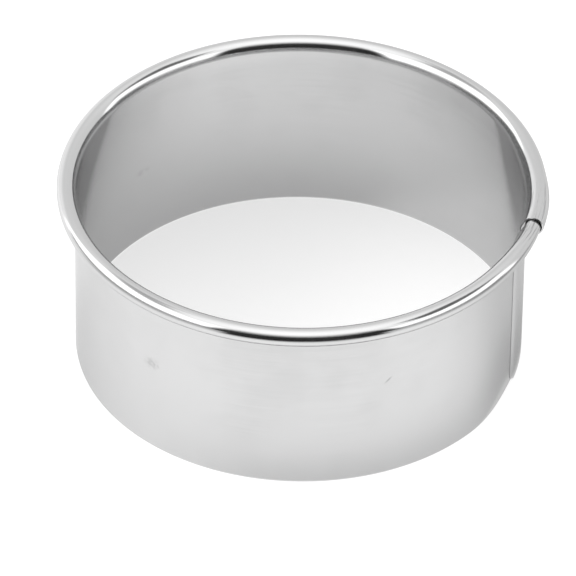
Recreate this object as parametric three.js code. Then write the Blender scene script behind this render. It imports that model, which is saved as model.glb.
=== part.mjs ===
// Round dough cutter: a strip of thin stainless sheet, its top edge flared and rolled outward into a
// hollow bead, bent into a ring, with its ends lapped at one side and held by spot welds.
// Millimetres, +Z up. The origin is on the ring's axis, in the plane of the cutting edge.
import * as THREE from "three";

// Driving dimensions
const RIM_DIAMETER = 85; // across the plain bead
const HEIGHT = 35; // from the cutting edge to the top of the plain bead
const SHEET = 0.3; // thickness of the strip
const BEAD_DIAMETER = 3.2; // outside of the rolled bead
const CURL_GAP = 0.3; // slit left between the rolled edge and the flare that it turns back to
const FLARE_ANGLE = 28; // degrees, how far the flare under the bead leans out from the wall
const FLARE_LENGTH = 0.1; // straight part of the flare on the plain ring
const FLARE_BEND_RADIUS = 2.8; // bend between wall and flare, at mid sheet
const BEND_LINE_DROP = 0.7; // how far the top edge of the lap lies below the lowest flare bend

// Seam: the far end of the strip laps outside, the near end is stepped inward behind it
const BEAD_JOINT_ANGLE = -14; // degrees round the ring, where the widened end of the bead stops
const JOINT_BULGE = 0.2; // how far the joined bead ends stand out from the ring
const NOTCH_WIDTH = 0.5; // cut in the flare between the widened end and the near end
const FLAP_LENGTH = 2.6; // the outer lap reaches this far past the widened end of the bead
const TAB_LENGTH = 3; // the inner lap reaches this far past the notch
const LAP_GAP = 0.12; // space between the lapped sheets
const SEAM_DRAW = 0.4; // how far the far end is drawn in from the round at the seam
const DRAW_RETURN_LENGTH = 14; // run over which the far end returns to the round
const LAP_LEAD = 1; // the step is complete this far ahead of the outer lap's edge
const LAP_STEP_LENGTH = 15; // run over which the near end is stepped inward
const PLUG_LENGTH = 4.3; // narrowed bead pushed into the widened one
const PLUG_REDUCTION = 0.3; // taken off the bead diameter to make the plug
const PLUG_CLEARANCE = 0.08; // between the plug and the inside of the widened bead
const PLUG_TAPER_LENGTH = 13; // run over which the bead narrows to the plug
const SLEEVE_LENGTH = 5; // widened bead at its full size
const SLEEVE_TAPER_LENGTH = 11; // run over which the widened bead returns to its plain size

// Spot welds in the lap
const WELD_NAMES = ["lower", "middle", "upper"];
const WELD_DIAMETER = 3;
const WELD_CLEARANCE = 0.025; // from the nugget to the sheet on each side
const WELD_EDGE_DISTANCE = 5.5; // from the lap's lower and upper edges to the end welds

// Fineness of the facets
const RING_STEP = 5; // degrees
const SEAM_STEP = 3; // degrees
const BEND_STEPS = 4;
const CURL_STEPS = 14;
const FLARE_CELLS = BEND_STEPS + 2; // the bend, with a straight cell below and above it
const WELD_FACETS = 16;
const WELD_FACE_STEPS = 6;

// Radii and heights that follow from these
const { degToRad, smoothstep } = THREE.MathUtils;
const flare = degToRad(FLARE_ANGLE);
const beadRadius = (BEAD_DIAMETER - SHEET) / 2;
const plugRadius = beadRadius - PLUG_REDUCTION / 2;
const sleeveRadius = plugRadius + SHEET + PLUG_CLEARANCE;
const beadCircleRadius = (RIM_DIAMETER - BEAD_DIAMETER) / 2;
const beadHeight = HEIGHT - BEAD_DIAMETER / 2;
const bendReach = FLARE_BEND_RADIUS * (1 - Math.cos(flare));
const flareReach = FLARE_LENGTH * Math.sin(flare);
const wallRadius = beadCircleRadius - beadRadius * Math.cos(flare) - flareReach - bendReach;
const lapRadius = wallRadius - SEAM_DRAW;
const lapStep = SHEET + LAP_GAP;

// Places round the ring, in radians counted from the +X side
const sleeveEnd = degToRad(BEAD_JOINT_ANGLE);
const sleeveFull = sleeveEnd + SLEEVE_LENGTH / beadCircleRadius;
const sleeveTaperEnd = sleeveFull + SLEEVE_TAPER_LENGTH / beadCircleRadius;
const outerLapEdge = sleeveEnd - FLAP_LENGTH / wallRadius;
const drawReturnEnd = sleeveTaperEnd + DRAW_RETURN_LENGTH / wallRadius;
const notchEdge = sleeveEnd + 2 * Math.PI - NOTCH_WIDTH / beadCircleRadius;
const innerLapEnd = notchEdge + TAB_LENGTH / wallRadius;
const plugEnd = sleeveEnd + 2 * Math.PI + PLUG_LENGTH / beadCircleRadius;
const plugTaperStart = notchEdge - PLUG_TAPER_LENGTH / beadCircleRadius;
const lapStepEnd = outerLapEdge + 2 * Math.PI - LAP_LEAD / wallRadius;
const lapStepStart = lapStepEnd - LAP_STEP_LENGTH / wallRadius;

// Mid-sheet radius of the wall at a place round the ring
function wallRadiusAt(place) {
  const drawn = 1 - smoothstep(place, sleeveTaperEnd, drawReturnEnd);
  const stepped = smoothstep(place, lapStepStart, lapStepEnd);
  return wallRadius - drawn * SEAM_DRAW - stepped * (SEAM_DRAW + lapStep);
}

// The bead at a place round the ring: its own mid-sheet radius, and how far out its middle lies
function beadAt(place) {
  const widened = 1 - smoothstep(place, sleeveFull, sleeveTaperEnd);
  const narrowed = smoothstep(place, plugTaperStart, notchEdge);
  const change = widened * (sleeveRadius - beadRadius) + narrowed * (plugRadius - beadRadius);
  return { round: beadRadius + change, reach: beadCircleRadius + JOINT_BULGE * (widened + narrowed) };
}

// Height at which the wall starts to bend out into the flare, for a given wall and bead
function bendStart(wall, bead) {
  const length = (bead.reach - wall - bendReach - bead.round * Math.cos(flare)) / Math.sin(flare);
  const flareTop = beadHeight + bead.round * Math.sin(flare);
  return flareTop - length * Math.cos(flare) - FLARE_BEND_RADIUS * Math.sin(flare);
}

// The wall is straight up to this height all round, and the outer lap ends there
const bendLine = bendStart(lapRadius - lapStep, beadAt(notchEdge)) - BEND_LINE_DROP;

// Section of the rim as points up the middle of the sheet, each with the direction of its right side:
// the top of the wall, the flare's bend, then the bead from the inside over the top and round under
function rimSection(place) {
  const wall = wallRadiusAt(place);
  const bead = beadAt(place);
  const bendFoot = bendStart(wall, bead);
  const points = [{ r: wall, z: bendLine, side: 0 }];
  for (let k = 0; k <= BEND_STEPS; k++) {
    const lean = (flare * k) / BEND_STEPS;
    const r = wall + FLARE_BEND_RADIUS * (1 - Math.cos(lean));
    const z = bendFoot + FLARE_BEND_RADIUS * Math.sin(lean);
    points.push({ r, z, side: -lean });
  }
  const slitTurn = Math.acos(1 - (SHEET + CURL_GAP) / bead.round);
  const curlTurn = 2 * Math.PI - slitTurn;
  for (let k = 0; k <= CURL_STEPS; k++) {
    const around = Math.PI - flare - (curlTurn * k) / CURL_STEPS;
    const r = bead.reach + bead.round * Math.cos(around);
    const z = beadHeight + bead.round * Math.sin(around);
    points.push({ r, z, side: around - Math.PI });
  }
  return points;
}

// Section of the wall: a straight line from the cutting edge to the bend line
function wallSection(place) {
  const r = wallRadiusAt(place);
  return [
    { r, z: 0, side: 0 },
    { r, z: bendLine, side: 0 },
  ];
}

// Places round the ring where sections are taken, close together near the seam
function ringPlaces() {
  const marks = [
    outerLapEdge,
    sleeveEnd,
    sleeveFull,
    sleeveTaperEnd,
    drawReturnEnd,
    lapStepStart,
    plugTaperStart,
    lapStepEnd,
    notchEdge,
    innerLapEnd,
    plugEnd,
  ].sort((a, b) => a - b);
  const places = [marks[0]];
  for (let m = 1; m < marks.length; m++) {
    const from = marks[m - 1];
    const span = marks[m] - from;
    if (span === 0) continue;
    const plainRing = from === drawReturnEnd;
    const steps = Math.ceil(span / degToRad(plainRing ? RING_STEP : SEAM_STEP));
    for (let k = 1; k < steps; k++) places.push(from + (span * k) / steps);
    places.push(marks[m]);
  }
  return places;
}

// A solid of sheet thickness over a grid of sections. Cells that are cut away leave open edges.
function sheetSolid(places, sectionAt, isCutAway) {
  const sections = places.map(sectionAt);
  const rows = sections[0].length;
  const positions = [];
  const triangles = [];
  places.forEach((place, i) => {
    for (const { r, z, side } of sections[i]) {
      for (const offset of [SHEET / 2, -SHEET / 2]) {
        const reach = r + offset * Math.cos(side);
        const height = z + offset * Math.sin(side);
        positions.push(reach * Math.cos(place), reach * Math.sin(place), height);
      }
    }
  });
  const outside = (i, j) => 2 * (i * rows + j);
  const inside = (i, j) => outside(i, j) + 1;
  const quad = (a, b, c, d) => triangles.push(a, b, c, a, c, d);
  const isSheet = (i, j) =>
    i >= 0 && j >= 0 && i < places.length - 1 && j < rows - 1 && !isCutAway(i, j);
  const edge = (i, j, k, l) => quad(outside(k, l), outside(i, j), inside(i, j), inside(k, l));
  for (let i = 0; i < places.length - 1; i++) {
    for (let j = 0; j < rows - 1; j++) {
      if (!isSheet(i, j)) continue;
      quad(outside(i, j), outside(i + 1, j), outside(i + 1, j + 1), outside(i, j + 1));
      quad(inside(i, j), inside(i, j + 1), inside(i + 1, j + 1), inside(i + 1, j));
      if (!isSheet(i, j - 1)) edge(i, j, i + 1, j);
      if (!isSheet(i + 1, j)) edge(i + 1, j, i + 1, j + 1);
      if (!isSheet(i, j + 1)) edge(i + 1, j + 1, i, j + 1);
      if (!isSheet(i - 1, j)) edge(i, j + 1, i, j);
    }
  }
  const geometry = new THREE.BufferGeometry();
  geometry.setAttribute("position", new THREE.Float32BufferAttribute(positions, 3));
  geometry.setIndex(triangles);
  const faceted = geometry.toNonIndexed();
  faceted.computeVertexNormals();
  return faceted;
}

// Steel finishes
function steel(color, roughness) {
  return new THREE.MeshStandardMaterial({ color, roughness, metalness: 1 });
}

function named(name, geometry, material) {
  const mesh = new THREE.Mesh(geometry, material);
  mesh.name = name;
  return mesh;
}

const allPlaces = ringPlaces();
const placesBetween = (from, to) => allPlaces.filter((p) => p >= from && p <= to);

// The wall of the strip, from the outer lap's free edge once round to the inner lap's end
function cutterBand() {
  const places = placesBetween(outerLapEdge, innerLapEnd);
  return sheetSolid(places, wallSection, () => false);
}

// The flare and bead. Past the notch only the plug goes on, cut free of its flare.
function rolledRim() {
  const places = placesBetween(sleeveEnd, plugEnd);
  const isCutAway = (i, j) => j < FLARE_CELLS && places[i] >= notchEdge;
  return sheetSolid(places, rimSection, isCutAway);
}

// A weld nugget: a thin lens whose axis lies along the ring's radius
function weldNugget() {
  const half = LAP_GAP / 2 - WELD_CLEARANCE;
  const face = new THREE.EllipseCurve(0, 0, WELD_DIAMETER / 2, half, -Math.PI / 2, Math.PI / 2);
  const profile = face.getPoints(WELD_FACE_STEPS);
  profile[0].x = 0;
  profile[profile.length - 1].x = 0;
  return new THREE.LatheGeometry(profile, WELD_FACETS).rotateZ(-Math.PI / 2);
}

function spotWelds() {
  const seam = new THREE.Group();
  seam.rotation.z = (outerLapEdge + innerLapEnd) / 2 - Math.PI;
  const spacing = (bendLine - 2 * WELD_EDGE_DISTANCE) / (WELD_NAMES.length - 1);
  WELD_NAMES.forEach((name, k) => {
    const weld = named("seam_spot_weld_" + name, weldNugget(), steel(0x8f9194, 0.5));
    weld.position.set(lapRadius - lapStep / 2, 0, WELD_EDGE_DISTANCE + k * spacing);
    seam.add(weld);
  });
  return seam;
}

const cutter = new THREE.Group();
cutter.add(named("cutter_band", cutterBand(), steel(0xc8cacc, 0.22)));
cutter.add(named("rolled_rim", rolledRim(), steel(0xd2d4d6, 0.15)));
cutter.add(spotWelds());

export default cutter;
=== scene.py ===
import math
from typing import NamedTuple

import bpy
import numpy as np
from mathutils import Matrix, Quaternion, Vector


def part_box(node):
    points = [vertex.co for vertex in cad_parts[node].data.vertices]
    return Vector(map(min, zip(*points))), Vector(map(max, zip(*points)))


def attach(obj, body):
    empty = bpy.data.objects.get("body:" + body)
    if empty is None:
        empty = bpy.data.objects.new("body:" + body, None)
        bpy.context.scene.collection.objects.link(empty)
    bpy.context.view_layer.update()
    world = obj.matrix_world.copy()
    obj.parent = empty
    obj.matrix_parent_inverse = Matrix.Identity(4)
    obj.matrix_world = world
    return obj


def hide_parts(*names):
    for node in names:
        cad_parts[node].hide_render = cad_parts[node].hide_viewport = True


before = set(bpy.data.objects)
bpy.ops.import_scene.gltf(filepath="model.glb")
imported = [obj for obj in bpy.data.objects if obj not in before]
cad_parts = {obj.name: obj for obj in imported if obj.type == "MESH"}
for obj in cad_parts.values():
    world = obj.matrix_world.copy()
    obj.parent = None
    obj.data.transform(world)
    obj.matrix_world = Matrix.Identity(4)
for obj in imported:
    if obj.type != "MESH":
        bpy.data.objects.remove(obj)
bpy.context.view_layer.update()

bl_info = {
    "name": "Round Dough Cutter",
    "version": (1, 0, 0),
    "blender": (4, 5, 0),
    "location": "View3D > Sidebar > Dough Cutter",
    "description": "Dresses the packed round dough cutter as rolled stainless sheet on a pale studio floor",
    "category": "Add Mesh",
}

WELD_NODES = ("seam_spot_weld_lower", "seam_spot_weld_middle", "seam_spot_weld_upper")
STRIP_COORDINATES = "strip_place"
TURN = 2.0 * math.pi

# The photograph's frame, and the camera's sensor in millimetres
FRAME_PIXELS = 576
SENSOR_WIDTH = 36.0

# Faces of the sheet, as the strip coordinates number them
OUTSIDE = 0.0
INSIDE = 1.0

# Places up the strip: where the painted shade towards the cutting edge ends, the fade of the sheared edges
# below the bend line, and the run above it over which the rolling drew the sheet smooth
PAINTED_SHADE_HEIGHT = 0.026
EDGE_FADE = 0.001
SMOOTHED_RUN = 0.004

# Depths of relief
DRAW_MARK_DEPTH = 3.0e-5
GRAIN_DEPTH = 6.0e-7
WELD_TOOTH_DEPTH = 2.0e-5

# Bands of the floor in ring radii: under the wall, where the left grows brighter, and where the inner
# shade thins at the right
UNDER_WALL = (0.98, 1.01)
LEFT_BAND = (-1.2, -0.95)
RIGHT_BAND = (0.2, 0.5)

# Sides of the painted shade that only the steel sees, in degrees from the front, to the right positive, and
# how high it lies above the floor
REFLECTED_SHADE_BESIDE = (-105.0, 110.0)
PAINTED_SHADOW_RISE = (45.0, 90.0)
PAINTED_SHADE_FALL = (135.0, 178.0)
FOOT_SHADE_RISE = (-44.0, 0.0)
ABOVE_FLOOR = 0.0002


# Property makers

def length(name, description, default):
    return bpy.props.FloatProperty(
        name=name, description=description, default=default, min=0.0, precision=6, unit="LENGTH"
    )


def turn(name, description, degrees):
    return bpy.props.FloatProperty(
        name=name, description=description, default=math.radians(degrees), subtype="ANGLE"
    )


def share(name, description, default):
    return bpy.props.FloatProperty(
        name=name, description=description, default=default, min=0.0, max=1.0, subtype="FACTOR"
    )


def level(name, description, default):
    return bpy.props.FloatProperty(name=name, description=description, default=default, min=0.0)


def count(name, description, default):
    return bpy.props.IntProperty(name=name, description=description, default=default, min=1)


def colour(name, description, default):
    return bpy.props.FloatVectorProperty(
        name=name, description=description, default=default, min=0.0, max=1.0, subtype="COLOR"
    )


# Sizes and finishes that a user would change

class StripSizes(bpy.types.PropertyGroup):
    """The strip of sheet: its ring, flare and rolled bead"""

    rim_diameter: length("Rim diameter", "Across the plain bead", 0.085)
    height: length("Height", "From the cutting edge to the top of the plain bead", 0.035)
    sheet: length("Sheet", "Thickness of the strip", 0.0003)
    bead_diameter: length("Bead diameter", "Outside of the rolled bead", 0.0032)
    curl_gap: length("Curl gap", "Slit between the rolled edge and the flare", 0.0003)
    flare_angle: turn("Flare angle", "How far the flare leans out from the wall", 28.0)
    flare_length: length("Flare length", "Straight part of the flare on the plain ring", 0.0001)
    flare_bend_radius: length("Flare bend radius", "Bend between wall and flare, at mid sheet", 0.0028)
    edge_round: length("Edge rounding", "Rounding of the sheet's cut edges", 0.00004)
    ring_step: turn("Ring step", "Step between sections on the plain ring", 1.0)
    seam_step: turn("Seam step", "Step between sections near the seam", 0.5)
    wall_rows: count("Wall rows", "Rows of faces up the wall", 48)
    bend_rows: count("Bend rows", "Rows of faces in the flare's bend", 12)
    curl_rows: count("Curl rows", "Rows of faces round the bead", 56)


class SeamSizes(bpy.types.PropertyGroup):
    """The lapped wall ends and the telescoped bead ends"""

    joint_angle: turn("Joint angle", "Place round the ring where the widened bead stops", -14.0)
    joint_bulge: length("Joint bulge", "How far the joined bead ends stand out from the ring", 0.0002)
    notch_width: length("Notch width", "Cut in the flare between the two ends", 0.0005)
    flap_length: length("Flap length", "The outer lap reaches this far past the widened bead", 0.0026)
    tab_length: length("Tab length", "The inner lap reaches this far past the notch", 0.003)
    corner_round: length("Corner rounding", "Rounding of the outer lap's lower corner", 0.0015)
    corner_rows: count("Corner rows", "Rows of faces over the rounded corner", 5)
    lap_gap: length("Lap gap", "Space between the lapped sheets", 0.00012)
    lap_edge_gap: length("Lap edge gap", "Space under the outer lap's pressed edge", 0.00001)
    lap_press_length: length("Lap press length", "Run over which that edge is pressed in", 0.0022)
    lap_edge_sheet: length("Lap edge sheet", "Thickness left at that edge", 0.00002)
    lap_thin_length: length("Lap thin length", "Run over which the sheet is pressed thin", 0.0009)
    seam_draw: length("Seam draw", "How far the far end is drawn in from the round", 0.0004)
    draw_return_length: length("Draw return", "Run over which the far end returns to the round", 0.014)
    lap_lead: length("Lap lead", "The step is complete this far ahead of the outer lap", 0.001)
    lap_step_length: length("Lap step length", "Run over which the near end is stepped inward", 0.015)
    plug_length: length("Plug length", "Narrowed bead inside the widened one", 0.0043)
    plug_reduction: length("Plug reduction", "Taken off the bead diameter for the plug", 0.00046)
    plug_clearance: length("Plug clearance", "Between plug and widened bead", 0.00016)
    plug_taper_length: length("Plug taper", "Run over which the bead narrows", 0.013)
    sleeve_length: length("Sleeve length", "Widened bead at its full size", 0.005)
    sleeve_taper_length: length("Sleeve taper", "Run over which the widened bead returns", 0.011)


class WeldSizes(bpy.types.PropertyGroup):
    """The spot welds in the lap"""

    dimple_diameter: length("Dimple diameter", "Mark that the electrode leaves", 0.0032)
    dimple_depth: length("Dimple depth", "Depth of the electrode's mark", 0.00001)
    nugget_facets: count("Nugget facets", "Facets round a weld nugget", 48)
    nugget_rings: count("Nugget rings", "Rings of faces on each side of a nugget", 6)


class SteelFinish(bpy.types.PropertyGroup):
    """Colour and polish of the sheet"""

    colour: colour("Steel colour", "Bright cold-rolled stainless sheet", (0.66, 0.66, 0.662))
    edge_tint: colour("Glancing tint", "Reflection kept at a glancing angle", (0.74, 0.74, 0.74))
    # Colour towards which the painted shade near the cutting edge and the random handling film blend
    film_and_shade_colour: colour("Worn colour", "Steel greyed by use towards the cutting edge", (0.50, 0.50, 0.502))
    mark_colour: colour("Mark colour", "Scratches, smudges and draw marks", (0.22, 0.22, 0.222))
    weld_colour: colour("Weld colour", "Dull fused steel", (0.36, 0.35, 0.34))
    tint_colour: colour("Weld tint", "Straw tint round a weld", (0.52, 0.45, 0.34))
    wall_roughness: share("Wall roughness", "Roughness of the rolled wall", 0.18)
    bead_roughness: share("Bead roughness", "Roughness where the rolling drew the sheet smooth", 0.10)
    handled_roughness: share("Handling", "Roughness added by handling marks", 0.03)
    grain_stretch: share("Grain stretch", "How far the rolling grain stretches reflections", 0.95)
    weld_roughness: share("Weld roughness", "Roughness of the fused steel", 0.5)
    sheared_roughness: share("Sheared roughness", "Roughness of the wall's sheared edges", 0.5)


class StudioSetup(bpy.types.PropertyGroup):
    """Floor, light and camera"""

    floor_radius: length("Floor radius", "Reach of the pale floor", 2.0)
    floor_colour: colour("Floor colour", "Pale matt floor", (0.40, 0.40, 0.40))
    # The floor's glow is painted light; inside the ring it falls as painted shade, and behind on the left
    # painted light is added
    floor_glow: level("Floor glow", "Light that comes up through the floor", 0.78)
    left_glow: level("Left glow", "Light added to that behind on the left", 0.15)
    shaded_glow: level("Shaded glow", "The same inside the ring, at the back left", 0.55)
    opened_glow: level("Opened glow", "The same inside the ring, at the front right", 0.74)
    back_light: level("Back light", "Brightness of the tent behind, at floor level", 0.88)
    overhead_light: level("Overhead light", "Brightness of the tent overhead", 1.55)
    left_light: level("Left light", "Brightness of the left-hand panel", 1.9)
    left_back_light: level("Left back light", "Brightness of the tent behind on the left", 1.2)
    right_light: level("Right light", "Brightness of the right-hand card", 1.75)
    left_gap_light: level("Left gap", "Brightness of the gap above the left-hand panel", 0.57)
    right_gap_light: level("Right gap", "Brightness of the gap above the right-hand card", 0.17)
    skirt_light: level("Skirt light", "Brightness of the tent's skirt, just above the floor", 0.30)
    opening_light: level("Opening light", "Brightness of the tent's open front", 0.03)
    opening_left: turn("Opening left", "Left edge of the open front", -38.0)
    opening_right: turn("Opening right", "Right edge of the open front", 42.0)
    # The dark sheet in front and beside is seen only in the steel: a painted reflection of shade
    reflected_shade_left: turn("Cloth left", "Left edge of the dark cloth on the floor in front", -31.0)
    reflected_shade_right: turn("Cloth right", "Right edge of that cloth", 35.0)
    reflected_shade_beside: share("Cloth beside", "Share of the cloth's density at both sides", 0.5)
    # Painted shadow of the ring on the floor at the right, seen only in the steel
    veil: share("Veil", "Share of light that the veil at the right takes", 0.19)
    foot_shade: share("Foot shade", "Share of light lost on the floor at the ring's foot", 0.20)
    foot_reach: length("Foot reach", "Reach of that shade from the wall", 0.012)
    inner_shade: share("Inner shade", "Share of light lost inside the ring's foot", 0.22)
    inner_reach: length("Inner reach", "Reach of that shade from the wall", 0.025)
    opening_foot: length("Opening foot", "Where the floor in front starts to darken", 0.062)
    opening_floor: length("Opening floor", "Where the floor in front is dark", 0.185)
    camera_distance: length("Camera distance", "From the ring's middle to the camera", 1.3)
    camera_elevation: turn("Camera elevation", "Camera above the horizon", 38.95)
    camera_roll: turn("Camera roll", "Turn of the camera about its own axis", 0.86)
    lens: level("Lens", "Focal length in millimetres for a 36 mm sensor", 465.8)
    centre_right: level("Ring centre, right", "Pixels from the left of the 576 pixel frame", 300.9)
    centre_down: level("Ring centre, down", "Pixels from the top of the 576 pixel frame", 258.2)


# The form of the strip

def smooth_step(value, start, end):
    t = np.clip((value - start) / (end - start), 0.0, 1.0)
    return t * t * (3.0 - 2.0 * t)


class StripForm:
    """Radii, heights and places round the ring that follow from the sizes"""

    def __init__(self, scene):
        strip = scene.cutter_strip
        seam = scene.cutter_seam
        self.strip = strip
        self.seam = seam
        self.weld = scene.cutter_weld
        self.bead = (strip.bead_diameter - strip.sheet) / 2
        self.plug = self.bead - seam.plug_reduction / 2
        self.sleeve = self.plug + strip.sheet + seam.plug_clearance
        self.bead_circle = (strip.rim_diameter - strip.bead_diameter) / 2
        self.bead_height = strip.height - strip.bead_diameter / 2
        self.bend_reach = strip.flare_bend_radius * (1 - math.cos(strip.flare_angle))
        flare_reach = strip.flare_length * math.sin(strip.flare_angle)
        bead_reach = self.bead * math.cos(strip.flare_angle)
        self.wall = self.bead_circle - bead_reach - flare_reach - self.bend_reach
        self.lap_step = strip.sheet + seam.lap_gap
        self.bend_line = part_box("cutter_band")[1].z

        # Places in radians, counted from the +X side
        self.sleeve_end = seam.joint_angle
        self.sleeve_full = self.sleeve_end + seam.sleeve_length / self.bead_circle
        self.sleeve_taper_end = self.sleeve_full + seam.sleeve_taper_length / self.bead_circle
        self.outer_lap_edge = self.sleeve_end - seam.flap_length / self.wall
        self.lap_press_end = self.outer_lap_edge + seam.lap_press_length / self.wall
        self.lap_thin_end = self.outer_lap_edge + seam.lap_thin_length / self.wall
        self.draw_return_end = self.sleeve_taper_end + seam.draw_return_length / self.wall
        self.notch_edge = self.sleeve_end + TURN - seam.notch_width / self.bead_circle
        self.inner_lap_end = self.notch_edge + seam.tab_length / self.wall
        self.plug_end = self.sleeve_end + TURN + seam.plug_length / self.bead_circle
        self.plug_taper_start = self.notch_edge - seam.plug_taper_length / self.bead_circle
        self.lap_step_end = self.outer_lap_edge + TURN - seam.lap_lead / self.wall
        self.lap_step_start = self.lap_step_end - seam.lap_step_length / self.wall

    def wall_at(self, place):
        """Radius of the wall at mid sheet"""
        drawn = 1.0 - smooth_step(place, self.sleeve_taper_end, self.draw_return_end)
        pressed = 1.0 - smooth_step(place, self.outer_lap_edge, self.lap_press_end)
        stepped = smooth_step(place, self.lap_step_start, self.lap_step_end)
        far_end = drawn * self.seam.seam_draw + pressed * (self.seam.lap_gap - self.seam.lap_edge_gap)
        return self.wall - far_end - stepped * (self.seam.seam_draw + self.lap_step)

    def bead_at(self, place):
        """The bead's own radius at mid sheet, and how far out its middle lies"""
        widened = 1.0 - smooth_step(place, self.sleeve_full, self.sleeve_taper_end)
        narrowed = smooth_step(place, self.plug_taper_start, self.notch_edge)
        bead = self.bead + widened * (self.sleeve - self.bead) + narrowed * (self.plug - self.bead)
        return bead, self.bead_circle + self.seam.joint_bulge * (widened + narrowed)

    def bend_foot(self, wall, bead, circle):
        flare = self.strip.flare_angle
        reach = circle - wall - self.bend_reach - bead * math.cos(flare)
        flare_top = self.bead_height + bead * math.sin(flare)
        return flare_top - reach / math.tan(flare) - self.strip.flare_bend_radius * math.sin(flare)

    def places(self, start, end):
        """Places round the ring for the sections between two of the strip's ends"""
        marks = [
            self.outer_lap_edge,
            self.lap_thin_end,
            self.lap_press_end,
            self.sleeve_end,
            self.sleeve_full,
            self.sleeve_taper_end,
            self.draw_return_end,
            self.lap_step_start,
            self.plug_taper_start,
            self.lap_step_end,
            self.notch_edge,
            self.inner_lap_end,
            self.plug_end,
        ]
        marks.sort()
        places = [marks[0]]
        for before, after in zip(marks, marks[1:]):
            on_plain_ring = before == self.draw_return_end
            step = self.strip.ring_step if on_plain_ring else self.strip.seam_step
            steps = math.ceil((after - before) / step)
            places.extend(np.linspace(before, after, steps + 1)[1:])
        places = np.array(places)
        return places[(places >= start) & (places <= end)]

    def dimples(self, place, height):
        """How far the electrodes pressed the lapped sheets towards each other, outward positive"""
        pressed = np.zeros(np.broadcast(place, height).shape)
        radius = self.weld.dimple_diameter / 2
        flat = radius / 3
        for node in WELD_NODES:
            low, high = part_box(node)
            centre = (low + high) / 2
            at = math.atan2(centre.y, centre.x)
            for spot, way in ((at, -1.0), (at + TURN, 1.0)):
                away = np.hypot((place - spot) * self.wall, height - centre.z)
                pressed += way * self.weld.dimple_depth * (1.0 - smooth_step(away, flat, radius))
        return pressed

    def wall_section(self, places):
        """Middle of the sheet up the wall: place, radius, height, lean and half thickness of each
        point. The outer lap's free edge is thin on its outside, and it draws back towards the
        cutting edge, which rounds its lower corner."""
        corner = self.seam.corner_round
        arc = np.linspace(0.0, math.pi / 2, self.seam.corner_rows + 1)
        upper = np.linspace(corner, self.bend_line, self.strip.wall_rows + 1)
        height = np.concatenate([corner * (1.0 - np.cos(arc)), upper[1:]])[None, :]
        drawn_back = np.concatenate([corner * (1.0 - np.sin(arc)), np.zeros(self.strip.wall_rows)])
        fade_length = 3.0 * corner
        near_edge = np.clip(1.0 - (places - self.outer_lap_edge) * self.wall / fade_length, 0.0, 1.0)
        place = places[:, None] + near_edge[:, None] * drawn_back[None, :] / self.wall
        half = self.strip.sheet / 2
        pressed = 1.0 - smooth_step(place, self.outer_lap_edge, self.lap_thin_end)
        lost = pressed * (half - self.seam.lap_edge_sheet / 2)
        radius = self.wall_at(place) + self.dimples(place, height) - lost
        shape = radius.shape
        return place, radius, np.broadcast_to(height, shape), np.zeros(shape), half - lost

    def rim_section(self, places):
        """Middle of the sheet up the flare, over the bead and round under it"""
        strip = self.strip
        place = places[:, None]
        wall = self.wall_at(place)
        bead, circle = self.bead_at(place)
        foot = self.bend_foot(wall, bead, circle)
        lean = np.linspace(0.0, strip.flare_angle, strip.bend_rows + 1)[None, :]
        bend_radius = wall + strip.flare_bend_radius * (1.0 - np.cos(lean))
        bend_height = foot + strip.flare_bend_radius * np.sin(lean)
        slit = np.arccos(1.0 - (strip.sheet + strip.curl_gap) / bead)
        along = np.linspace(0.0, 1.0, strip.curl_rows + 1)[None, :]
        around = math.pi - strip.flare_angle - (TURN - slit) * along
        curl_radius = circle + bead * np.cos(around)
        curl_height = self.bead_height + bead * np.sin(around)
        start = np.ones_like(wall)
        radius = np.hstack([wall, bend_radius, curl_radius])
        height = np.hstack([start * self.bend_line, bend_height, curl_height])
        side = np.hstack([start * 0.0, -lean * start, around - math.pi])
        half = np.full(radius.shape, strip.sheet / 2)
        return np.broadcast_to(place, radius.shape), radius, height, side, half


# Meshes

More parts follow.
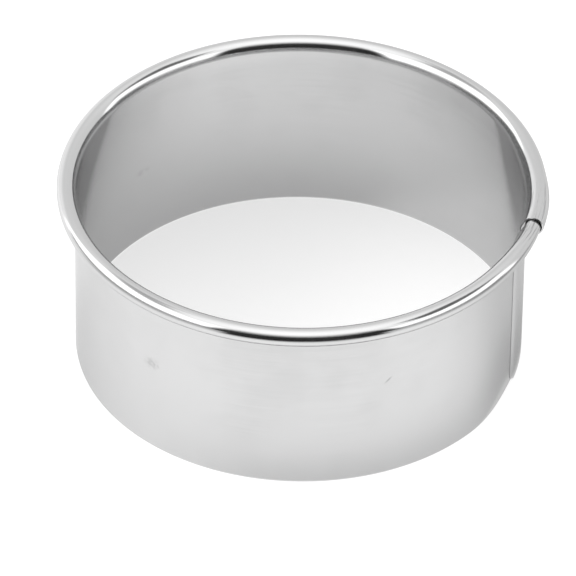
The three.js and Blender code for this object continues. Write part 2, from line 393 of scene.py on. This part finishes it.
def sheet_mesh(name, form, section, is_cut, is_joined):
    """A closed mesh of sheet thickness over a grid of sections. is_cut(i, j) leaves cells out, and
    is_joined(i, j) tells where the lower or upper edge of the grid goes on in the next piece."""
    place, radius, height, side, half = section
    columns, rows = radius.shape
    across = np.cos(place)
    along = np.sin(place)
    faces_of_sheet = []
    for offset in (half, -half):
        reach = radius + offset * np.cos(side)
        faces_of_sheet.append(np.stack([reach * across, reach * along, height + offset * np.sin(side)], -1))
    corners = np.stack(faces_of_sheet, 2).reshape(-1, 3)

    def outside(i, j):
        return 2 * (i * rows + j)

    def inside(i, j):
        return outside(i, j) + 1

    def is_sheet(i, j):
        return 0 <= i < columns - 1 and 0 <= j < rows - 1 and not is_cut(i, j)

    quads = []
    border = {}
    thickness = half / half.max()

    def edge(start, end, joined):
        rounding = 0.0 if joined else min(thickness[start], thickness[end])
        quads.append((outside(*end), outside(*start), inside(*start), inside(*end)))
        for face_of in (outside, inside):
            a, b = sorted((face_of(*start), face_of(*end)))
            border[a, b] = rounding

    for i in range(columns - 1):
        for j in range(rows - 1):
            if not is_sheet(i, j):
                continue
            quads.append((outside(i, j), outside(i + 1, j), outside(i + 1, j + 1), outside(i, j + 1)))
            quads.append((inside(i, j), inside(i, j + 1), inside(i + 1, j + 1), inside(i + 1, j)))
            if not is_sheet(i, j - 1):
                edge((i, j), (i + 1, j), is_joined(i, j))
            if not is_sheet(i + 1, j):
                edge((i + 1, j), (i + 1, j + 1), False)
            if not is_sheet(i, j + 1):
                edge((i + 1, j + 1), (i, j + 1), is_joined(i, j + 1))
            if not is_sheet(i - 1, j):
                edge((i, j + 1), (i, j), False)

    mesh = bpy.data.meshes.new(name)
    mesh.from_pydata(corners.tolist(), [], quads)
    mesh.update()
    ends = np.empty(len(mesh.edges) * 2, np.int32)
    mesh.edges.foreach_get("vertices", ends)
    keys = [(min(a, b), max(a, b)) for a, b in ends.reshape(-1, 2).tolist()]
    sharp = mesh.attributes.new("sharp_edge", "BOOLEAN", "EDGE")
    sharp.data.foreach_set("value", [key in border for key in keys])
    weight = mesh.attributes.new("bevel_weight_edge", "FLOAT", "EDGE")
    weight.data.foreach_set("value", [border.get(key, 0.0) for key in keys])

    # Place on the unrolled strip: along it, up it, and which face of the sheet
    steps = np.hypot(np.diff(radius, axis=1), np.diff(height, axis=1))
    up = height[:, :1] + np.hstack([np.zeros((columns, 1)), np.cumsum(steps, axis=1)])
    on_strip = np.zeros((columns, rows, 2, 3))
    on_strip[..., 0] = (place * form.wall)[:, :, None]
    on_strip[..., 1] = up[:, :, None]
    on_strip[:, :, 1, 2] = 1.0
    attribute = mesh.attributes.new(STRIP_COORDINATES, "FLOAT_VECTOR", "POINT")
    attribute.data.foreach_set("vector", on_strip.ravel())
    mesh.shade_smooth()
    mesh.validate()
    return mesh


def nugget_mesh(name, radius, half, weld):
    """A lens: rings from the middle of one face over the rim to the middle of the other"""
    rings = 2 * weld.nugget_rings
    facets = weld.nugget_facets
    corners = [(0.0, 0.0, half)]
    for ring in range(1, rings):
        tilt = math.pi * ring / rings
        reach = radius * math.sin(tilt)
        for k in range(facets):
            at = TURN * k / facets
            corners.append((reach * math.cos(at), reach * math.sin(at), half * math.cos(tilt)))
    corners.append((0.0, 0.0, -half))
    last = len(corners) - 1
    faces = []
    for k in range(facets):
        n = (k + 1) % facets
        faces.append((0, 1 + k, 1 + n))
        for ring in range(rings - 2):
            first = 1 + ring * facets
            faces.append((first + k, first + facets + k, first + facets + n, first + n))
        bottom = 1 + (rings - 2) * facets
        faces.append((bottom + k, last, bottom + n))
    mesh = bpy.data.meshes.new(name)
    mesh.from_pydata(corners, [], faces)
    mesh.shade_smooth()
    return mesh


def add_piece(mesh, material, node):
    """Puts a mesh in the scene in place of a packed node"""
    piece = bpy.data.objects.new(mesh.name, mesh)
    bpy.context.scene.collection.objects.link(piece)
    mesh.materials.append(material)
    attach(piece, "root")
    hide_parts(node)
    return piece


def round_edges(piece, width):
    bevel = piece.modifiers.new("cut edges", "BEVEL")
    bevel.width = width
    bevel.segments = 3
    bevel.limit_method = "WEIGHT"
    bevel.harden_normals = True


# Materials

class Nodes:
    """Short calls for building a node tree"""

    def __init__(self, tree):
        self.tree = tree
        tree.nodes.clear()

    def add(self, kind, **settings):
        node = self.tree.nodes.new(kind)
        for name, value in settings.items():
            setattr(node, name, value)
        return node

    def join(self, output, socket):
        self.tree.links.new(output, socket)

    def math(self, operation, first, second=None, third=None):
        node = self.add("ShaderNodeMath", operation=operation)
        for socket, value in zip(node.inputs, (first, second, third)):
            self.feed(value, socket)
        return node.outputs[0]

    def feed(self, value, socket):
        if isinstance(value, bpy.types.NodeSocket):
            self.join(value, socket)
        elif value is not None:
            socket.default_value = value

    def ramp(self, value, low, high, start=0.0, end=1.0):
        node = self.add("ShaderNodeMapRange", interpolation_type="SMOOTHSTEP")
        for socket, given in zip(node.inputs, (value, low, high, start, end)):
            self.feed(given, socket)
        return node.outputs["Result"]

    def distance(self, x, y):
        """Distance from the ring's axis"""
        return self.math("SQRT", self.math("MULTIPLY_ADD", x, x, self.math("MULTIPLY", y, y)))

    def between(self, value, low, high, soft):
        """One between two angles, falling to nothing over a soft edge given in degrees"""
        edge = math.radians(soft) / 2
        rise = self.ramp(value, low - edge, low + edge)
        fall = self.ramp(value, high - edge, high + edge, 1.0, 0.0)
        return self.math("MULTIPLY", rise, fall)

    def mark(self, vector, mark):
        """One in the middle of a mark on the strip, falling to nothing at its rim"""
        node = self.add("ShaderNodeMapping", vector_type="TEXTURE")
        self.join(vector, node.inputs["Vector"])
        node.inputs["Location"].default_value = (mark.along, mark.up, mark.face)
        node.inputs["Rotation"].default_value = (0.0, 0.0, mark.tilt)
        node.inputs["Scale"].default_value = (mark.half_length, mark.half_width, (INSIDE - OUTSIDE) / 2)
        away = self.add("ShaderNodeVectorMath", operation="LENGTH")
        self.join(node.outputs["Vector"], away.inputs[0])
        return self.ramp(away.outputs["Value"], 0.2, 1.0, 1.0, 0.0)

    def noise(self, vector, scale, detail, roughness=0.5):
        node = self.add("ShaderNodeTexNoise")
        self.join(vector, node.inputs["Vector"])
        node.inputs["Scale"].default_value = scale
        node.inputs["Detail"].default_value = detail
        node.inputs["Roughness"].default_value = roughness
        return node.outputs["Fac"]

    def stretched(self, vector, scale, rotation=0.0):
        node = self.add("ShaderNodeMapping")
        self.join(vector, node.inputs["Vector"])
        node.inputs["Scale"].default_value = scale
        node.inputs["Rotation"].default_value = (0.0, 0.0, rotation)
        return node.outputs["Vector"]

    def mix(self, factor, first, second):
        """From the first number to the second by the factor"""
        node = self.add("ShaderNodeMix", data_type="FLOAT")
        self.join(factor, node.inputs["Factor"])
        self.feed(first, node.inputs[2])
        self.feed(second, node.inputs[3])
        return node.outputs[0]

    def blend(self, factor, first, second):
        """From the first colour to the second by the factor"""
        node = self.add("ShaderNodeMix", data_type="RGBA")
        self.join(factor, node.inputs["Factor"])
        for given, socket in ((first, node.inputs[6]), (second, node.inputs[7])):
            is_socket = isinstance(given, bpy.types.NodeSocket)
            self.feed(given if is_socket else (*given, 1.0), socket)
        return node.outputs[2]

    def bump(self, height, depth, normal=None):
        node = self.add("ShaderNodeBump")
        node.inputs["Strength"].default_value = 1.0
        node.inputs["Distance"].default_value = depth
        self.join(height, node.inputs["Height"])
        self.feed(normal, node.inputs["Normal"])
        return node.outputs["Normal"]

    def metal(self):
        """Bare metal, joined to the material's output"""
        output = self.add("ShaderNodeOutputMaterial")
        metal = self.add("ShaderNodeBsdfPrincipled")
        self.join(metal.outputs["BSDF"], output.inputs["Surface"])
        metal.inputs["Metallic"].default_value = 1.0
        return metal

    def parts(self, vector):
        """The three numbers of a vector"""
        split = self.add("ShaderNodeSeparateXYZ")
        self.join(vector, split.inputs["Vector"])
        return split.outputs

    def object_place(self):
        return self.add("ShaderNodeTexCoord").outputs["Object"]


class Mark(NamedTuple):
    """An oval mark on the strip: its middle, the face it lies on, its reach and its tilt"""

    along: float
    up: float
    face: float
    half_length: float
    half_width: float
    tilt: float


THUMB_MARK = Mark(along=0.1577, up=0.0183, face=OUTSIDE, half_length=0.0023, half_width=0.0016, tilt=0.3)
INNER_SCUFF = Mark(along=0.0935, up=0.0147, face=INSIDE, half_length=0.0030, half_width=0.0012, tilt=0.0)
NICK = Mark(along=0.2005, up=0.0205, face=OUTSIDE, half_length=0.0012, half_width=0.00022, tilt=0.75)


def new_material(name):
    material = bpy.data.materials.new(name)
    material.use_nodes = True
    return material, Nodes(material.node_tree)


def handling_marks(nodes, strip):
    """A thumb mark, a scuff inside and a short scratch"""
    ridges = nodes.ramp(nodes.noise(strip, scale=1300.0, detail=3.0), 0.32, 0.62)
    specks = nodes.ramp(nodes.noise(strip, scale=900.0, detail=4.0), 0.4, 0.65)
    smudge = nodes.math("MULTIPLY", nodes.mark(strip, THUMB_MARK), ridges)
    scuff = nodes.math("MULTIPLY", nodes.mark(strip, INNER_SCUFF), specks)
    return smudge, scuff, nodes.mark(strip, NICK)


def sheared_edges(nodes, up, face, form):
    """One on the wall's sheared edges, which lie between the two faces of the sheet"""
    between_faces = nodes.math("MULTIPLY", face, nodes.math("SUBTRACT", 1.0, face))
    on_wall = nodes.ramp(up, form.bend_line - EDGE_FADE, form.bend_line, 1.0, 0.0)
    return nodes.math("MULTIPLY", nodes.ramp(between_faces, 0.0, 0.1), on_wall)


def joined_ends(nodes, along, up, form):
    """One on the bead's two joined ends, falling to nothing along the strip"""
    sleeve = nodes.ramp(along, form.sleeve_end * form.wall, form.sleeve_taper_end * form.wall, 1.0, 0.0)
    plug = nodes.ramp(along, form.plug_taper_start * form.wall, form.notch_edge * form.wall)
    on_rim = nodes.ramp(up, form.bend_line, form.bend_line + SMOOTHED_RUN)
    return nodes.math("MULTIPLY", nodes.math("ADD", sleeve, plug), on_rim)


def rolled_steel(scene, form):
    """Bright cold-rolled sheet: a fine grain along the strip, handling film and hairline scratches"""
    name = "rolled_stainless"
    if name in bpy.data.materials:
        return bpy.data.materials[name]
    finish = scene.cutter_finish
    material, nodes = new_material(name)
    steel = nodes.metal()
    strip = nodes.add("ShaderNodeAttribute", attribute_name=STRIP_COORDINATES).outputs["Vector"]
    along, up, face = nodes.parts(strip)

    grain = nodes.noise(nodes.stretched(strip, (60.0, 5000.0, 1.0)), scale=1.0, detail=3.0)
    film = nodes.ramp(nodes.noise(strip, scale=70.0, detail=3.0, roughness=0.6), 0.44, 0.70)
    slanting = nodes.stretched(strip, (1500.0, 40.0, 1.0), math.radians(35.0))
    scratch = nodes.ramp(nodes.noise(slanting, scale=1.0, detail=2.0), 0.74, 0.79)
    smudge, scuff, nick = handling_marks(nodes, strip)
    sheared = sheared_edges(nodes, up, face, form)

    # Dies left draw marks where the bead ends were narrowed and widened
    near_joint = joined_ends(nodes, along, up, form)
    drawn = nodes.noise(nodes.stretched(strip, (110.0, 2600.0, 1.0)), scale=1.0, detail=3.0, roughness=0.6)
    streak = nodes.math("MULTIPLY", nodes.ramp(drawn, 0.50, 0.66), near_joint)

    # Painted shade darkens the lower part towards the cutting edge, standing in for the floor's shade at
    # the foot seen in the steel; a random film greys it a little, and marks darken what they lie on
    painted_shade_share = 0.25
    film_share = 0.06
    low = nodes.ramp(up, 0.0, PAINTED_SHADE_HEIGHT, painted_shade_share, 0.0)
    film_and_painted_shade = nodes.math("MULTIPLY_ADD", film, film_share, low)
    marks = nodes.math("MULTIPLY", nick, 0.5)
    # The sheared edges darken partly as a dull fracture zone and partly as painted shade, which takes out a
    # glint on the edges in the notch
    for mark, darkness in ((smudge, 0.3), (scuff, 0.12), (streak, 0.65), (sheared, 0.7)):
        marks = nodes.math("MULTIPLY_ADD", mark, darkness, marks)
    clean = nodes.blend(film_and_painted_shade, finish.colour, finish.film_and_shade_colour)
    nodes.join(nodes.blend(marks, clean, finish.mark_colour), steel.inputs["Base Color"])
    steel.inputs["Specular Tint"].default_value = (*finish.edge_tint, 1.0)

    smoothed = form.bend_line + SMOOTHED_RUN
    grain_roughness = 0.12
    scratch_roughness = 0.04
    rough = nodes.ramp(up, form.bend_line, smoothed, finish.wall_roughness, finish.bead_roughness)
    rough = nodes.math("MULTIPLY_ADD", film, finish.handled_roughness, rough)
    rough = nodes.math("MULTIPLY_ADD", nodes.math("SUBTRACT", grain, 0.5), grain_roughness, rough)
    rough = nodes.math("MULTIPLY_ADD", scratch, scratch_roughness, rough)
    rough = nodes.mix(sheared, rough, finish.sheared_roughness)
    nodes.join(rough, steel.inputs["Roughness"])

    # Rolling leaves the sheet smoother along the strip than across it
    quarter_turn = 0.25
    around = nodes.add("ShaderNodeTangent", direction_type="RADIAL", axis="Z")
    nodes.join(around.outputs["Tangent"], steel.inputs["Tangent"])
    steel.inputs["Anisotropic"].default_value = finish.grain_stretch
    steel.inputs["Anisotropic Rotation"].default_value = quarter_turn

    drawn = nodes.math("MULTIPLY", nodes.math("SUBTRACT", drawn, 0.5), near_joint)
    coarse = nodes.bump(drawn, DRAW_MARK_DEPTH)
    relief = nodes.math("MULTIPLY_ADD", scratch, -0.2, grain)
    nodes.join(nodes.bump(relief, GRAIN_DEPTH, coarse), steel.inputs["Normal"])
    return material


def fused_steel(scene):
    """Dull weld nugget with blotches of straw tint"""
    finish = scene.cutter_finish
    material, nodes = new_material("weld_nugget")
    steel = nodes.metal()
    place = nodes.object_place()
    blotch = nodes.noise(place, scale=1800.0, detail=4.0)
    tint = nodes.ramp(blotch, 0.4, 0.65)
    nodes.join(nodes.blend(tint, finish.weld_colour, finish.tint_colour), steel.inputs["Base Color"])
    spread = 0.12
    rough = nodes.ramp(blotch, 0.3, 0.7, finish.weld_roughness - spread, finish.weld_roughness + spread)
    nodes.join(rough, steel.inputs["Roughness"])
    tooth = nodes.noise(place, scale=4000.0, detail=3.0)
    nodes.join(nodes.bump(tooth, WELD_TOOTH_DEPTH), steel.inputs["Normal"])
    return material


def floor_material(scene):
    """Pale matt board with a faint tooth, glowing with painted light: painted shade inside the ring, more
    painted light behind on the left
    """
    studio = scene.cutter_studio
    material, nodes = new_material("pale_floor")
    output = nodes.add("ShaderNodeOutputMaterial")
    board = nodes.add("ShaderNodeBsdfPrincipled")
    nodes.join(board.outputs["BSDF"], output.inputs["Surface"])
    board.inputs["Roughness"].default_value = 0.9
    board.inputs["Specular IOR Level"].default_value = 0.1
    board.inputs["Emission Color"].default_value = (1.0, 1.0, 1.0, 1.0)
    place = nodes.object_place()
    x, y = nodes.parts(place)[:2]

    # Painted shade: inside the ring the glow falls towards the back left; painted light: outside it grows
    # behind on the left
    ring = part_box("cutter_band")[1].y
    leftward = -0.6
    back_left = nodes.math("MULTIPLY_ADD", x, leftward, y)
    inside = nodes.ramp(back_left, -ring, ring, studio.opened_glow, studio.shaded_glow)
    left = nodes.ramp(x, *(ring * edge for edge in LEFT_BAND), studio.left_glow, 0.0)
    behind = nodes.ramp(y, 0.0, ring / 2)
    outside = nodes.math("MULTIPLY_ADD", left, behind, studio.floor_glow)
    past_wall = nodes.ramp(nodes.distance(x, y), *(ring * edge for edge in UNDER_WALL))
    nodes.join(nodes.mix(past_wall, inside, outside), board.inputs["Emission Strength"])

    tooth = nodes.noise(place, scale=900.0, detail=3.0)
    tooth_shade = 0.985
    darker = [tooth_shade * c for c in studio.floor_colour]
    nodes.join(nodes.blend(tooth, darker, studio.floor_colour), board.inputs["Base Color"])
    return material


def reflected_shade_material(scene):
    """Painted shade on the floor that only the steel sees: a dark sheet in front and beside, growing denser
    away from the ring, painted shadow at the right and painted shade at the ring's foot"""
    studio = scene.cutter_studio
    material, nodes = new_material("dark_cloth")
    output = nodes.add("ShaderNodeOutputMaterial")
    reflected_shade = nodes.add("ShaderNodeBsdfDiffuse")
    reflected_shade.inputs["Color"].default_value = (0.02, 0.02, 0.02, 1.0)
    clear = nodes.add("ShaderNodeBsdfTransparent")
    x, y = nodes.parts(nodes.object_place())[:2]
    away = nodes.distance(x, y)
    azimuth = nodes.math("ARCTAN2", x, nodes.math("MULTIPLY", y, -1.0))
    front = nodes.between(azimuth, studio.reflected_shade_left, studio.reflected_shade_right, soft=8.0)
    beside = nodes.between(azimuth, *map(math.radians, REFLECTED_SHADE_BESIDE), soft=40.0)
    reach = nodes.math("MAXIMUM", front, nodes.math("MULTIPLY", beside, studio.reflected_shade_beside))
    # Painted shadow at the right, fading behind, with painted shade at the ring's foot past the left
    rise = nodes.ramp(azimuth, *map(math.radians, PAINTED_SHADOW_RISE), 0.0, studio.veil)
    fall = nodes.ramp(azimuth, *map(math.radians, PAINTED_SHADE_FALL), 1.0, 0.0)
    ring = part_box("cutter_band")[1].y
    foot = nodes.ramp(away, ring, ring + studio.foot_reach, studio.foot_shade, 0.0)
    past_left = nodes.ramp(azimuth, *map(math.radians, FOOT_SHADE_RISE))
    veil = nodes.math("MULTIPLY", nodes.math("MULTIPLY_ADD", foot, past_left, rise), fall)
    dense = nodes.ramp(away, studio.opening_foot, studio.opening_floor)
    dense = nodes.math("MULTIPLY_ADD", dense, reach, veil)
    mix = nodes.add("ShaderNodeMixShader")
    nodes.join(dense, mix.inputs["Fac"])
    nodes.join(clear.outputs["BSDF"], mix.inputs[1])
    nodes.join(reflected_shade.outputs["BSDF"], mix.inputs[2])
    nodes.join(mix.outputs[0], output.inputs["Surface"])
    return material


def shade_material(scene):
    """What dims the floor inside the ring, close to its foot and less at the right"""
    studio = scene.cutter_studio
    material, nodes = new_material("inner_shade")
    output = nodes.add("ShaderNodeOutputMaterial")
    shade = nodes.add("ShaderNodeBsdfTransparent")
    x, y = nodes.parts(nodes.object_place())[:2]
    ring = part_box("cutter_band")[1].y
    left_over = 0.2
    lost = nodes.ramp(nodes.distance(x, y), ring - studio.inner_reach, ring, 0.0, studio.inner_shade)
    thinned = nodes.ramp(x, *(ring * edge for edge in RIGHT_BAND), 1.0, left_over)
    lost = nodes.math("MULTIPLY", lost, thinned)
    nodes.join(nodes.math("SUBTRACT", 1.0, lost), shade.inputs["Color"])
    nodes.join(shade.outputs["BSDF"], output.inputs["Surface"])
    return material


# Stage

def tent_world(scene):
    """A light tent with panels at both sides and a dark opening towards the camera. Angles are seen
    from the ring: sideways from the front, to the right positive, and above the floor."""
    studio = scene.cutter_studio
    world = bpy.data.worlds.new("light_tent")
    world.use_nodes = True
    scene.world = world
    nodes = Nodes(world.node_tree)
    output = nodes.add("ShaderNodeOutputWorld")
    x, y, z = nodes.parts(nodes.add("ShaderNodeTexCoord").outputs["Generated"])
    sideways = nodes.math("ARCTAN2", x, nodes.math("MULTIPLY", y, -1.0))
    above = nodes.math("ARCSINE", z)

    def panel(base, light, sides, heights, soft):
        """Lays a soft-edged panel of even light over the base, its edges in degrees"""
        left, right = (math.radians(edge) for edge in sides)
        low, high = (math.radians(edge) for edge in heights)
        inside = nodes.math(
            "MULTIPLY", nodes.between(sideways, left, right, soft), nodes.between(above, low, high, soft)
        )
        return nodes.mix(inside, base, light)

    # The tent is brightest a little in front of straight overhead
    lean = math.radians(12.0)
    upright = nodes.math("MULTIPLY", z, math.cos(lean))
    towards = nodes.math("MULTIPLY_ADD", y, -math.sin(lean), upright)
    height = nodes.math("ARCSINE", towards)
    low = math.radians(20.0)
    seen = nodes.ramp(height, low, math.pi / 2, studio.back_light, studio.overhead_light)
    seen = panel(seen, studio.left_back_light, sides=(-172.0, -110.0), heights=(-20.0, 26.0), soft=24.0)
    seen = panel(seen, studio.left_light, sides=(-125.0, -38.0), heights=(-20.0, 50.0), soft=6.0)
    seen = panel(seen, studio.right_light, sides=(40.0, 105.0), heights=(-20.0, 38.0), soft=6.0)
    seen = panel(seen, studio.left_gap_light, sides=(-155.0, -85.0), heights=(52.0, 64.0), soft=8.0)
    seen = panel(seen, studio.right_gap_light, sides=(62.0, 115.0), heights=(40.0, 62.0), soft=6.0)
    seen = panel(seen, studio.skirt_light, sides=(-118.0, 97.0), heights=(-20.0, 8.0), soft=8.0)

    # The open front narrows and fades upward
    narrowing = nodes.math("MULTIPLY_ADD", above, 0.22, 0.96)
    narrowed = nodes.math("MULTIPLY", sideways, narrowing)
    in_width = nodes.between(narrowed, studio.opening_left, studio.opening_right, soft=9.0)
    in_height = nodes.ramp(above, math.radians(24.0), math.radians(65.0), 1.0, 0.0)
    opening = nodes.math("MULTIPLY", in_width, in_height)
    seen = nodes.mix(opening, seen, studio.opening_light)

    tent_light = nodes.add("ShaderNodeBackground")
    nodes.join(seen, tent_light.inputs["Strength"])
    tent_light.inputs["Color"].default_value = (1.0, 1.0, 1.0, 1.0)
    backdrop = nodes.add("ShaderNodeBackground")
    backdrop.inputs["Color"].default_value = (1.0, 1.0, 1.0, 1.0)
    path = nodes.add("ShaderNodeLightPath")
    mix = nodes.add("ShaderNodeMixShader")
    nodes.join(path.outputs["Is Camera Ray"], mix.inputs["Fac"])
    nodes.join(tent_light.outputs[0], mix.inputs[1])
    nodes.join(backdrop.outputs[0], mix.inputs[2])
    nodes.join(mix.outputs[0], output.inputs["Surface"])


def flat_ring_mesh(name, inner, outer, height):
    """A flat ring about the cutter's axis, between two radii"""
    steps = 96
    corners = []
    for at in np.linspace(-math.pi, math.pi, steps + 1):
        for radius in (inner, outer):
            corners.append((radius * math.sin(at), -radius * math.cos(at), height))
    quads = [(2 * k, 2 * k + 1, 2 * k + 3, 2 * k + 2) for k in range(steps)]
    mesh = bpy.data.meshes.new(name)
    mesh.from_pydata(corners, [], quads)
    return mesh


def add_stage_sheet(mesh, material):
    sheet = bpy.data.objects.new(mesh.name, mesh)
    bpy.context.scene.collection.objects.link(sheet)
    mesh.materials.append(material)
    return sheet


def add_camera(scene):
    studio = scene.cutter_studio
    data = bpy.data.cameras.new("photo_camera")
    data.sensor_width = SENSOR_WIDTH
    data.lens = studio.lens
    camera = bpy.data.objects.new("photo_camera", data)
    scene.collection.objects.link(camera)
    scene.camera = camera
    middle = Vector((0.0, 0.0, scene.cutter_strip.height / 2))
    back = Vector((0.0, -math.cos(studio.camera_elevation), math.sin(studio.camera_elevation)))
    focal_pixels = studio.lens / SENSOR_WIDTH * FRAME_PIXELS
    right = (studio.centre_right - FRAME_PIXELS / 2) / focal_pixels
    up = (FRAME_PIXELS / 2 - studio.centre_down) / focal_pixels
    aim = Vector((right, up, -1.0)).rotation_difference(Vector((0.0, 0.0, -1.0)))
    roll = Quaternion((0.0, 0.0, 1.0), studio.camera_roll)
    camera.rotation_mode = "QUATERNION"
    camera.location = middle + back * studio.camera_distance
    camera.rotation_quaternion = (-back).to_track_quat("-Z", "Y") @ roll @ aim


# Operators

class DOUGHCUTTER_OT_wall(bpy.types.Operator):
    """Make the wall of the strip, from the outer lap's free edge once round to the inner lap's end"""

    bl_idname = "doughcutter.wall"
    bl_label = "Wall"

    def execute(self, context):
        form = StripForm(context.scene)
        places = form.places(form.outer_lap_edge, form.inner_lap_end)
        section = form.wall_section(places)
        top = form.strip.wall_rows + form.seam.corner_rows

        def is_joined(i, j):
            return j == top and form.sleeve_end <= places[i] < form.notch_edge

        mesh = sheet_mesh("band_sheet", form, section, lambda i, j: False, is_joined)
        piece = add_piece(mesh, rolled_steel(context.scene, form), "cutter_band")
        round_edges(piece, form.strip.edge_round)
        return {"FINISHED"}


class DOUGHCUTTER_OT_rim(bpy.types.Operator):
    """Make the flare and the rolled bead, with the plug that goes on past the notch"""

    bl_idname = "doughcutter.rim"
    bl_label = "Rolled Rim"

    def execute(self, context):
        form = StripForm(context.scene)
        places = form.places(form.sleeve_end, form.plug_end)
        section = form.rim_section(places)
        flare_rows = form.strip.bend_rows + 2

        def is_cut(i, j):
            return j < flare_rows and places[i] >= form.notch_edge

        def is_joined(i, j):
            return j == 0

        mesh = sheet_mesh("rim_bead", form, section, is_cut, is_joined)
        piece = add_piece(mesh, rolled_steel(context.scene, form), "rolled_rim")
        round_edges(piece, form.strip.edge_round)
        return {"FINISHED"}


class DOUGHCUTTER_OT_welds(bpy.types.Operator):
    """Make the three spot weld nuggets between the lapped sheets"""

    bl_idname = "doughcutter.welds"
    bl_label = "Spot Welds"

    def execute(self, context):
        weld = context.scene.cutter_weld
        material = fused_steel(context.scene)
        for node in WELD_NODES:
            low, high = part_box(node)
            centre = (low + high) / 2
            out = Vector((centre.x, centre.y, 0.0)).normalized()
            around = Vector((-out.y, out.x, 0.0))
            up = Vector((0.0, 0.0, 1.0))
            radius = (high.z - low.z) / 2
            corner = [Vector(v.co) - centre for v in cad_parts[node].data.vertices]
            half = max(c.dot(out) for c in corner)
            mesh = nugget_mesh(node.replace("seam_spot_weld", "weld_nugget"), radius, half, weld)
            for vertex in mesh.vertices:
                a, b, c = vertex.co
                vertex.co = centre + around * a + up * b + out * c
            add_piece(mesh, material, node)
        return {"FINISHED"}


class DOUGHCUTTER_OT_studio(bpy.types.Operator):
    """Set the floor, the light tent and the camera"""

    bl_idname = "doughcutter.studio"
    bl_label = "Studio"

    def execute(self, context):
        scene = context.scene
        studio = scene.cutter_studio
        scene.view_settings.view_transform = "Standard"
        tent_world(scene)
        floor = flat_ring_mesh("floor", 0.0, studio.floor_radius, 0.0)
        add_stage_sheet(floor, floor_material(scene))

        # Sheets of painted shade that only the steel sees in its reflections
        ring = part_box("cutter_band")[1].y
        reflected_shade = flat_ring_mesh("dark_cloth", ring, studio.floor_radius, ABOVE_FLOOR)
        shade = flat_ring_mesh("inner_shade", 0.0, ring, ABOVE_FLOOR)
        for mesh, material in ((reflected_shade, reflected_shade_material(scene)), (shade, shade_material(scene))):
            sheet = add_stage_sheet(mesh, material)
            sheet.visible_camera = False
            sheet.visible_diffuse = False
            sheet.visible_shadow = False
            sheet.visible_transmission = False
        add_camera(scene)
        return {"FINISHED"}


class DOUGHCUTTER_PT_sidebar(bpy.types.Panel):
    """Sizes and steps of the dough cutter"""

    bl_idname = "DOUGHCUTTER_PT_sidebar"
    bl_label = "Dough Cutter"
    bl_space_type = "VIEW_3D"
    bl_region_type = "UI"
    bl_category = "Dough Cutter"

    def draw(self, context):
        for operator in OPERATORS:
            self.layout.operator(operator.bl_idname)
        for pointer, group in GROUPS.items():
            box = self.layout.box()
            box.label(text=group.__doc__)
            settings = getattr(context.scene, pointer)
            for name in group.__annotations__:
                box.prop(settings, name)


GROUPS = {
    "cutter_strip": StripSizes,
    "cutter_seam": SeamSizes,
    "cutter_weld": WeldSizes,
    "cutter_finish": SteelFinish,
    "cutter_studio": StudioSetup,
}
OPERATORS = (DOUGHCUTTER_OT_studio, DOUGHCUTTER_OT_wall, DOUGHCUTTER_OT_rim, DOUGHCUTTER_OT_welds)
CLASSES = (*GROUPS.values(), *OPERATORS, DOUGHCUTTER_PT_sidebar)


def register():
    for cls in CLASSES:
        bpy.utils.register_class(cls)
    for pointer, group in GROUPS.items():
        setattr(bpy.types.Scene, pointer, bpy.props.PointerProperty(type=group))


def unregister():
    for pointer in GROUPS:
        delattr(bpy.types.Scene, pointer)
    for cls in reversed(CLASSES):
        bpy.utils.unregister_class(cls)


def main():
    register()
    bpy.ops.doughcutter.studio()
    bpy.ops.doughcutter.wall()
    bpy.ops.doughcutter.rim()
    bpy.ops.doughcutter.welds()


if __name__ == "__main__":
    main()
